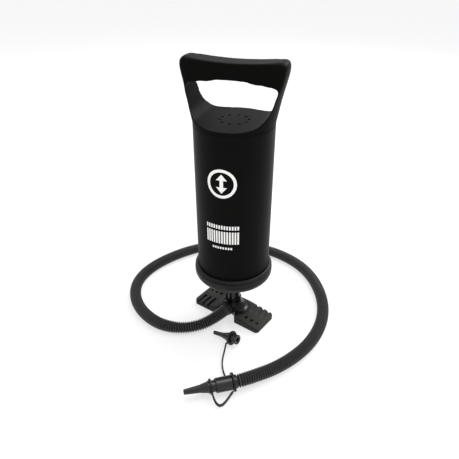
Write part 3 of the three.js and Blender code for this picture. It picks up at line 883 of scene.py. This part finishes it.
# %% [markdown]
# ## The handle cap
# The cap, its two arms and the bar are one big moulding. Its outside is a body of revolution
# that flares towards the top, so it starts as a spun outline. Seen from the side it narrows
# above the scoop to the depth of a hand's grip, so a side outline is kept in common with it,
# and the opening for the hand is cut through from front to back. The corners of such a moulding
# are all generously round. A bevel fails where so many curved cuts meet, so the solid is given
# an even skin and relaxed: lightly above the scoop, and more at the bar's ends, which a hand
# has to hold. The lower edge must meet the barrel without a groove, so a plain spun band is
# joined on there after the relaxing.

# %% Handle cap outlines
CAP_SEAM = tube_high.z + 0.1
TOP = 300.0  # the flare's own top, before the bar's sag is cut into it
SCOOP_FLOOR = 241.0
BAR_DEPTH = 13.0
BAR_ROUND = 4.5
flare = [
    (40.6, CAP_SEAM),
    (40.7, 240),
    (42.7, 250),
    (45.1, 262),
    (47.9, 273),
    (50.4, 283),
    (51.7, 289),
    *arc(45.3, TOP - 6.6, 6.6, 0, 90),
]
side_half = [
    (60, CAP_SEAM - 30),
    (60, 258),
    (22, 266),
    (BAR_DEPTH + 1, 275),
    (BAR_DEPTH, 281),
    *arc(BAR_DEPTH - BAR_ROUND, TOP - 1 - BAR_ROUND, BAR_ROUND, 0, 90, 6),
]
scoop_half = [
    (14, SCOOP_FLOOR),
    (24, 242.2),
    (30, 244.2),
    (34.6, 248.2),
    (38, 252.8),
    (40.6, 259),
    (43, 267),
    (44.4, 272),
    (43.8, 275),
]
finger_waves_half = [
    (40, 276.6),
    (34, 277.3),
    (29, 278.2),
    (24, 278.2),
    (19, 279),
    (14, 280.1),
    (9, 280.2),
    (4, 280.4),
]


def both_halves(half):
    """The outline with its mirror image, as one closed outline."""
    return half + [(-across, height) for across, height in reversed(half)]


def from_front(outline, depth):
    """A solid with this outline seen from the front, through from front to back."""
    return pushed([(x, depth, z) for x, z in outline], (0, -2 * depth, 0))


def from_side(outline, width):
    """A solid with this outline seen from the side, through from left to right."""
    return pushed([(-width, y, z) for y, z in outline], (2 * width, 0, 0))


# %% Outside of the handle cap
THROUGH = 60  # far enough to cut right through the pump
SAG_RADIUS = 340  # the bar's top sags a little between the arms
SAG_LOW = TOP - 4.3
CAP_SKIN = 0.8
ABOVE_SCOOP = 262
SHOULDER_HEIGHT = 268  # the bar's two rounded ends start here
SHOULDER_REACH = 38
sag = arc(0, SAG_LOW + SAG_RADIUS, SAG_RADIUS, 260, 280, 24)
cap_shape = combined(
    "INTERSECT",
    spun([(0, CAP_SEAM), *flare, (0, TOP)], 128),
    from_side(both_halves(side_half), THROUGH),
)
cap_shape = even_skin(combined("DIFFERENCE", cap_shape, from_front(sag, THROUGH)), CAP_SKIN)
cap_shape = smoothed(cap_shape, 10, lambda place: place.z > ABOVE_SCOOP)
cap_shape = smoothed(
    cap_shape, 40, lambda place: place.z > SHOULDER_HEIGHT and abs(place.x) > SHOULDER_REACH
)

# %% The hand's opening and the spigot in the barrel
FINE_SKIN = 0.6
SPIGOT_INNER = 34.9
SPIGOT_OUTER = 37.1
opening_half, _ = smooth_line([(x, 0, z) for x, z in scoop_half + finger_waves_half], 1.0)
opening = both_halves([(point.x, point.z) for point in opening_half])
spigot_outline = [
    (SPIGOT_INNER, cap_low.z),
    (SPIGOT_OUTER, cap_low.z),
    (SPIGOT_OUTER, CAP_SEAM + 1),
    (SPIGOT_INNER, CAP_SEAM + 1),
]
cap_shape = combined("DIFFERENCE", cap_shape, from_front(opening, THROUGH))
cap_shape = even_skin(combined("UNION", cap_shape, spun(spigot_outline, 128)), FINE_SKIN)
cap_shape = smoothed(cap_shape, 8, lambda place: place.z > CAP_SEAM + 1)

# %% The cap's lower edge, its air holes and the room for the valve disc under them
BAND_TOP = CAP_SEAM + 3.2
VENT_CIRCLE = 14.4
VENT_RADIUS = 1.55
VENTS = 10
DISC_ROOM = 34
DISC_ROOM_TOP = CAP_SEAM + 0.4
seam_band = [(38, CAP_SEAM), (40.65, CAP_SEAM), (40.7, BAND_TOP), (38, BAND_TOP)]
cap_shape = combined("UNION", cap_shape, spun(seam_band, 160))
vents = rod_circle(VENT_RADIUS, VENT_CIRCLE, VENTS, CAP_SEAM - 2, SCOOP_FLOOR + 2, 20, 0.5)
disc_room = rod(DISC_ROOM, (0, 0, CAP_SEAM - 2), (0, 0, DISC_ROOM_TOP), 64)
cap_shape = combined("DIFFERENCE", cap_shape, disc_room, *vents)
cap_shape.transform(BARREL_TURN)
finish_piece(cap_shape, "cap_and_handle", "barrel", "soft_black_pp", ["handle_cap"])

# %% [markdown]
# ## The barrel
# The barrel is moulded with a little draft, so that it comes off its core: it is 1.6 mm wider
# at the top. It is a spun wall with rounded ends.

# %% Barrel
BORE = 37.5
BARREL_WIDE = 40.6
BARREL_NARROW = 39.8
barrel_outline = [
    (BORE, tube_low.z),
    (BARREL_NARROW, tube_low.z),
    (BARREL_WIDE, tube_high.z),
    (BORE, tube_high.z),
]
barrel_shape = softened(spun(barrel_outline, 160), 0.2)
barrel_shape.transform(BARREL_TURN)
finish_piece(barrel_shape, "barrel_shell", "barrel", "satin_black_abs", ["barrel_tube"])

# %% [markdown]
# ## The lock ring and the bottom cap
# The bottom cap is a bowl that is screwed on the barrel, and a thin ring above it keeps it from
# coming loose. They are two spun pieces with a fine dark gap between them. The bowl's floor has
# air holes, because the pump also draws air in there, and a boss that holds the shaft's bush.

# %% Lock ring
FLANGE = bowl_high.x
RING_BORE = BARREL_NARROW + 0.3
ring_outline = [
    (RING_BORE, ring_low.z),
    (FLANGE - 1.5, ring_low.z),
    (FLANGE - 0.3, ring_low.z + 0.8),
    (FLANGE - 0.3, ring_low.z + 1.5),
    (FLANGE - 2, ring_low.z + 3.2),
    (RING_BORE + 0.7, ring_high.z),
    (RING_BORE, ring_high.z),
]
ring_shape = softened(spun(ring_outline, 160), 0.35)
ring_shape.transform(BARREL_TURN)
finish_piece(
    ring_shape, "locking_ring", "barrel", "satin_black_abs", ["lock_ring"], finish=rim_abs
)

# %% Bottom cap
BOWL_CORNER = 9.0
BOWL_FLOOR = 58.0
BOWL_RIM = 72.0
BARREL_SEAT = 61.3
INNER_FLOOR = 61.0
BOSS = 15.0
BOSS_TOP = 68.6
AIR_HOLES = 8
AIR_HOLE_CIRCLE = 22.5
AIR_HOLE_RADIUS = 2.5
bowl_outline = [
    (9.3, bowl_low.z),
    (BOSS, bowl_low.z),
    (BOSS, BOWL_FLOOR),
    *arc(FLANGE - BOWL_CORNER, BOWL_FLOOR + BOWL_CORNER, BOWL_CORNER, 270, 360, 14),
    (FLANGE, bowl_high.z - 1.2),
    (FLANGE - 1.6, BOWL_RIM),
    (RING_BORE, BOWL_RIM),
    (RING_BORE, BARREL_SEAT),
    (37.2, BARREL_SEAT),
    (37.2, 63.6),
    (34.5, 63.6),
    (34.5, INNER_FLOOR),
    (BOSS, INNER_FLOOR),
    (BOSS, BOSS_TOP),
    (11.9, BOSS_TOP),
    (11.9, 56),
    (9.3, 56),
]
air_holes = rod_circle(
    AIR_HOLE_RADIUS, AIR_HOLE_CIRCLE, AIR_HOLES, BOWL_FLOOR - 1, INNER_FLOOR + 1
)
bowl_shape = combined("DIFFERENCE", softened(spun(bowl_outline, 160), 0.4), *air_holes)
bowl_shape.transform(BARREL_TURN)
finish_piece(bowl_shape, "bowl_cap", "barrel", "satin_black_abs", ["bottom_cap"], finish=rim_abs)

# %% [markdown]
# ## The shaft
# A polished hollow tube, the only glossy piece. It has a hole at its foot for the air, a groove
# for its seal and a thinner threaded end for the piston.

# %% Shaft
SHAFT_RADIUS = shaft_high.x
SHAFT_BORE = 6.0
PISTON_SEAT = 206.0
GROOVE_LOW = 15.2
GROOVE_HIGH = 17.2
AIR_PORT = 11.5
shaft_outline = [
    (SHAFT_BORE, shaft_low.z),
    (SHAFT_RADIUS, shaft_low.z),
    (SHAFT_RADIUS, GROOVE_LOW),
    (SHAFT_RADIUS - 1, GROOVE_LOW),
    (SHAFT_RADIUS - 1, GROOVE_HIGH),
    (SHAFT_RADIUS, GROOVE_HIGH),
    (SHAFT_RADIUS, PISTON_SEAT),
    (SHAFT_RADIUS - 0.7, PISTON_SEAT),
    (SHAFT_RADIUS - 0.7, shaft_high.z),
    (SHAFT_BORE, shaft_high.z),
]
air_port = rod(3, (0, 0, AIR_PORT), (0, -12, AIR_PORT))
shaft_shape = combined("DIFFERENCE", softened(spun(shaft_outline, 72), 0.15), air_port)
finish_piece(shaft_shape, "hollow_shaft", "base", "gloss_black_abs", ["shaft"])

# %% [markdown]
# ## The foot
# The foot is one moulding: two pads that the user's feet hold down, with slots and dimples for
# grip, a flared hub for the shaft and a port for the hose. The pads slope down to their ends.
# A notch in front leaves room for the hose. Like the cap it is combined from plain solids,
# given an even skin and relaxed, so that all its edges are rounded in one go.

# %% Body of the foot
PAD_CORNER = 5.0
PAD_MIDDLE = 9.5
PAD_END = 6.0
LEVEL_MIDDLE = 13.0
HUB_RADIUS = 9.5
HUB_FLARE = 12.0
FLARE_LOW = 8.7
HUB_TOP = 24.0
ABOVE_HUB = HUB_TOP + 1
NOTCH_RADIUS = 14
NOTCH_PLACE = -21
PORT_RADIUS = 9.0
PORT_HEIGHT = 12.0
PORT_FACE = -12
half_length = foot_high.x
half_width = foot_high.y

plan = []
for quarter, (x, y) in enumerate([(1, -1), (1, 1), (-1, 1), (-1, -1)]):
    middle = (x * (half_length - PAD_CORNER), y * (half_width - PAD_CORNER))
    plan += arc(*middle, PAD_CORNER, 90 * quarter - 90, 90 * quarter, 8)
plan = [(x, y, 0) for x, y in plan]
slope_half = [(half_length, 0), (half_length, PAD_END), (LEVEL_MIDDLE, PAD_MIDDLE)]
flare_foot = HUB_RADIUS + HUB_FLARE
hub_outline = [
    (0, 0.5),
    (flare_foot, 0.5),
    *arc(flare_foot, FLARE_LOW + HUB_FLARE, HUB_FLARE, 270, 180, 16),
    (HUB_RADIUS, HUB_TOP),
    (0, HUB_TOP),
]
pads = combined(
    "INTERSECT",
    pushed(plan, (0, 0, PAD_MIDDLE)),
    from_front(both_halves(slope_half), THROUGH),
)
hub = combined("INTERSECT", spun(hub_outline, 72), pushed(plan, (0, 0, ABOVE_HUB)))
notch = rod(NOTCH_RADIUS, (0, NOTCH_PLACE, -1), (0, NOTCH_PLACE, ABOVE_HUB), 64)
port = rod(PORT_RADIUS, (0, 0, PORT_HEIGHT), (0, PORT_FACE, PORT_HEIGHT), 48)
foot_shape = combined("UNION", pads, hub)
foot_shape = combined("DIFFERENCE", foot_shape, notch)
foot_shape = combined("UNION", foot_shape, port)

# %% Slots, dimples and bores of the foot
FOOT_SKIN = 0.5
FOOT_ROUNDS = 4
TREADS = (25, 32.5, 40)
SLOT_WIDTH = 2.8
SLOT_START = 2.0
SLOT_FLOOR = 3.8
SLOT_RUN_OUT = (0.3, 2.3)  # depths of a shallow slot, at its start and at the pad's edge
DIMPLE_RADIUS = 2.0
DIMPLE_PLACE = 9
DIMPLE_FLOOR = 5
ABOVE_PAD = PAD_MIDDLE + 1
SOCKET_FLOOR = 4.5
SOCKET_RADIUS = SHAFT_RADIUS + 0.3
PORT_BORE = 4.5
CORE_NEAR = 17  # the hollow under each pad, from the hub's side to the pad's end
CORE_FAR = 44
CORE_HALF_WIDTH = 14
CORE_TOP = 2
fall = (PAD_MIDDLE - PAD_END) / (half_length - LEVEL_MIDDLE)
cuts = [
    rod(SOCKET_RADIUS, (0, 0, SOCKET_FLOOR), (0, 0, ABOVE_HUB), 48),
    rod(PORT_BORE, (0, 0, PORT_HEIGHT), (0, PORT_FACE - 1, PORT_HEIGHT)),
]
for end in (1, -1):
    near, far = sorted((end * CORE_NEAR, end * CORE_FAR))
    cuts.append(block((near, -CORE_HALF_WIDTH, -1), (far, CORE_HALF_WIDTH, CORE_TOP)))
    for x in TREADS:
        surface = PAD_MIDDLE - fall * (x - LEVEL_MIDDLE)
        shallow = [surface - depth for depth in SLOT_RUN_OUT]
        floors = shallow if end > 0 else [SLOT_FLOOR, SLOT_FLOOR]
        section = [
            (end * SLOT_START, floors[0]),
            (end * (half_width + 1), floors[1]),
            (end * (half_width + 1), ABOVE_PAD),
            (end * SLOT_START, ABOVE_PAD),
        ]
        slot = from_side(section, SLOT_WIDTH / 2)
        slot.transform(Matrix.Translation((end * x, 0, 0)))
        dimple_place = (end * x, -end * DIMPLE_PLACE)
        cuts.append(slot)
        cuts.append(rod(DIMPLE_RADIUS, (*dimple_place, DIMPLE_FLOOR), (*dimple_place, ABOVE_PAD)))
foot_shape = even_skin(combined("DIFFERENCE", foot_shape, *cuts), FOOT_SKIN)
foot_shape = smoothed(foot_shape, FOOT_ROUNDS)
finish_piece(foot_shape, "tread_foot", "base", "soft_black_pp", ["foot"], finish=foot_pp)

# %% [markdown]
# ## The print
# The barrel carries a white screen print. It is made of plain marks of no meaning: a ring with
# an arrow both ways, because this pump blows on both strokes, and rows of short bars. Each mark
# is drawn flat, cut into narrow strips, bent round the barrel and given the thickness of ink.

# %% Printed marks
INK_LIFT = 0.03
INK_THICK = 0.05
STRIP = 1.5


def flat_bar(x, z, width, height):
    """A flat upright rectangle with its middle at x and z."""
    shape = bmesh.new()
    place = Matrix.Translation((x, 0, z)) @ Matrix.Rotation(pi / 2, 4, "X")
    grow = Matrix.Diagonal((width, height, 1, 1))
    bmesh.ops.create_grid(shape, x_segments=1, y_segments=1, size=0.5, matrix=place @ grow)
    return shape


def flat_shape(corners):
    """A flat upright face with these corners."""
    shape = bmesh.new()
    shape.faces.new([shape.verts.new((x, 0, z)) for x, z in corners])
    return shape


def flat_ring(z, inner, outer):
    """A flat upright ring with its middle on the barrel's middle line."""
    shape = bmesh.new()
    pair = [shape.verts.new((radius, 0, z)) for radius in (inner, outer)]
    edge = shape.edges.new(pair)
    bmesh.ops.spin(
        shape,
        geom=[*pair, edge],
        axis=(0, 1, 0),
        cent=(0, 0, z),
        steps=72,
        angle=tau,
        use_merge=True,
    )
    bmesh.ops.remove_doubles(shape, verts=shape.verts, dist=1e-4)
    return shape


def wrapped(shape):
    """Bends a flat mark round the barrel's front and gives it its thickness."""
    widest = max(abs(vert.co.x) for vert in shape.verts)
    for k in range(-ceil(widest / STRIP), ceil(widest / STRIP) + 1):
        everything = shape.verts[:] + shape.edges[:] + shape.faces[:]
        bmesh.ops.bisect_plane(
            shape, geom=everything, plane_co=(k * STRIP, 0, 0), plane_no=(1, 0, 0), dist=1e-4
        )
    for vert in shape.verts:
        share = (vert.co.z - tube_low.z) / (tube_high.z - tube_low.z)
        radius = BARREL_NARROW + (BARREL_WIDE - BARREL_NARROW) * share + INK_LIFT
        turn = vert.co.x / radius
        vert.co = (radius * sin(turn), -radius * cos(turn), vert.co.z)
    for face in shape.faces:
        middle = face.calc_center_median()
        if face.normal.dot(Vector((middle.x, middle.y, 0))) < 0:
            face.normal_flip()
    bmesh.ops.solidify(shape, geom=shape.faces[:], thickness=-INK_THICK)
    bmesh.ops.recalc_face_normals(shape, faces=shape.faces)
    return shape


# %% The emblem and the rows of bars
EMBLEM_Z = 190.0
ARROW = [(1.8, 0), (1.8, 3.6), (5.6, 3.6), (0, 10), (-5.6, 3.6), (-1.8, 3.6), (-1.8, 0)]
arrow_up = [(x, EMBLEM_Z + z) for x, z in ARROW]
arrow_down = [(x, EMBLEM_Z - z) for x, z in reversed(ARROW)]
marks = [flat_ring(EMBLEM_Z, 12.2, 15.2), flat_shape(arrow_up), flat_shape(arrow_down)]
ROWS = [
    # height of the row's middle, bar's height, bar's width, spacing, number of bars
    (141.5, 4.4, 1.7, 2.8, 13),
    (129.5, 14.5, 1.7, 2.8, 13),
    (116.8, 2.6, 1.7, 2.8, 8),
]
for middle, tall, wide, spacing, count in ROWS:
    for i in range(count):
        marks.append(flat_bar((i - (count - 1) / 2) * spacing, middle, wide, tall))

print_shape = bmesh.new()
for mark in marks:
    flat = bpy.data.meshes.new("mark")
    wrapped(mark).to_mesh(flat)
    mark.free()
    print_shape.from_mesh(flat)
    bpy.data.meshes.remove(flat)
print_shape.transform(BARREL_TURN)
finish_piece(print_shape, "barrel_print", "barrel", "print_white")

# %% [markdown]
# ## The pieces inside
# The piston, the valves and the seals are hidden in the barrel. Their CAD shapes are right, so
# they stay as they are and only get their finishes, by the slot that the record names.

# %% Finishes for the CAD nodes that stay
for part in frame["record"]["subparts"]:
    node = frame["nodes"][part["node"]]
    node.data.materials.clear()
    node.data.materials.append(FINISHES[part["material_slot"]])

# %% [markdown]
# ## Floor and light
# A light table and a bright even surround, as in a small studio: the table glows a little, so
# the pump casts hardly any shadow on it. A black cylinder looks round because its flanks mirror
# the bright surround at a low angle. A broad softbox above draws the pale lines on rims and
# ribs, and a small lamp sets clear highlights on the polished pieces.

# %% Floor
FLOOR_SIZE = 12.0
FLOOR_SHADE = (0.3, 0.3, 0.3)
FLOOR_GLOW = 0.64
floor_shape = bmesh.new()
bmesh.ops.create_grid(floor_shape, x_segments=1, y_segments=1, size=FLOOR_SIZE / 2)
floor_mesh = bpy.data.meshes.new("floor")
floor_shape.to_mesh(floor_mesh)
floor_shape.free()
floor = bpy.data.objects.new("floor", floor_mesh)
bpy.context.scene.collection.objects.link(floor)
floor_paint = bpy.data.materials.new("floor_paint")
floor_paint.use_nodes = True
floor_shader = floor_paint.node_tree.nodes["Principled BSDF"]
floor_shader.inputs["Base Color"].default_value = (*FLOOR_SHADE, 1)
floor_shader.inputs["Roughness"].default_value = 0.9
floor_shader.inputs["Specular IOR Level"].default_value = 0.1
floor_shader.inputs["Emission Color"].default_value = (1, 1, 1, 1)
floor_shader.inputs["Emission Strength"].default_value = FLOOR_GLOW
floor_mesh.materials.append(floor_paint)

# %% Light
SURROUND = 0.9
LAMP_AIM = Vector((0, 0, 0.15))
LAMPS = [
    # name, place in metres, size in metres, watts
    ("softbox_above", (0.15, 0.35, 1.35), (1.2, 0.9), 14),
    ("panel_behind", (-0.9, 1.2, 0.95), (1.8, 0.9), 2),
    ("small_lamp", (0.2, 1.15, 0.95), (0.3, 0.3), 10),
]
world = bpy.data.worlds.new("surround")
world.use_nodes = True
world.node_tree.nodes["Background"].inputs["Color"].default_value = (1, 1, 1, 1)
world.node_tree.nodes["Background"].inputs["Strength"].default_value = SURROUND
bpy.context.scene.world = world
for name, place, size, watts in LAMPS:
    lamp_data = bpy.data.lights.new(name, "AREA")
    lamp_data.shape = "RECTANGLE"
    lamp_data.size, lamp_data.size_y = size
    lamp_data.energy = watts
    lamp = bpy.data.objects.new(name, lamp_data)
    lamp.location = place
    aim = LAMP_AIM - Vector(place)
    lamp.rotation_euler = aim.to_track_quat("-Z", "Y").to_euler()
    bpy.context.scene.collection.objects.link(lamp)
bpy.context.scene.view_settings.view_transform = "Standard"
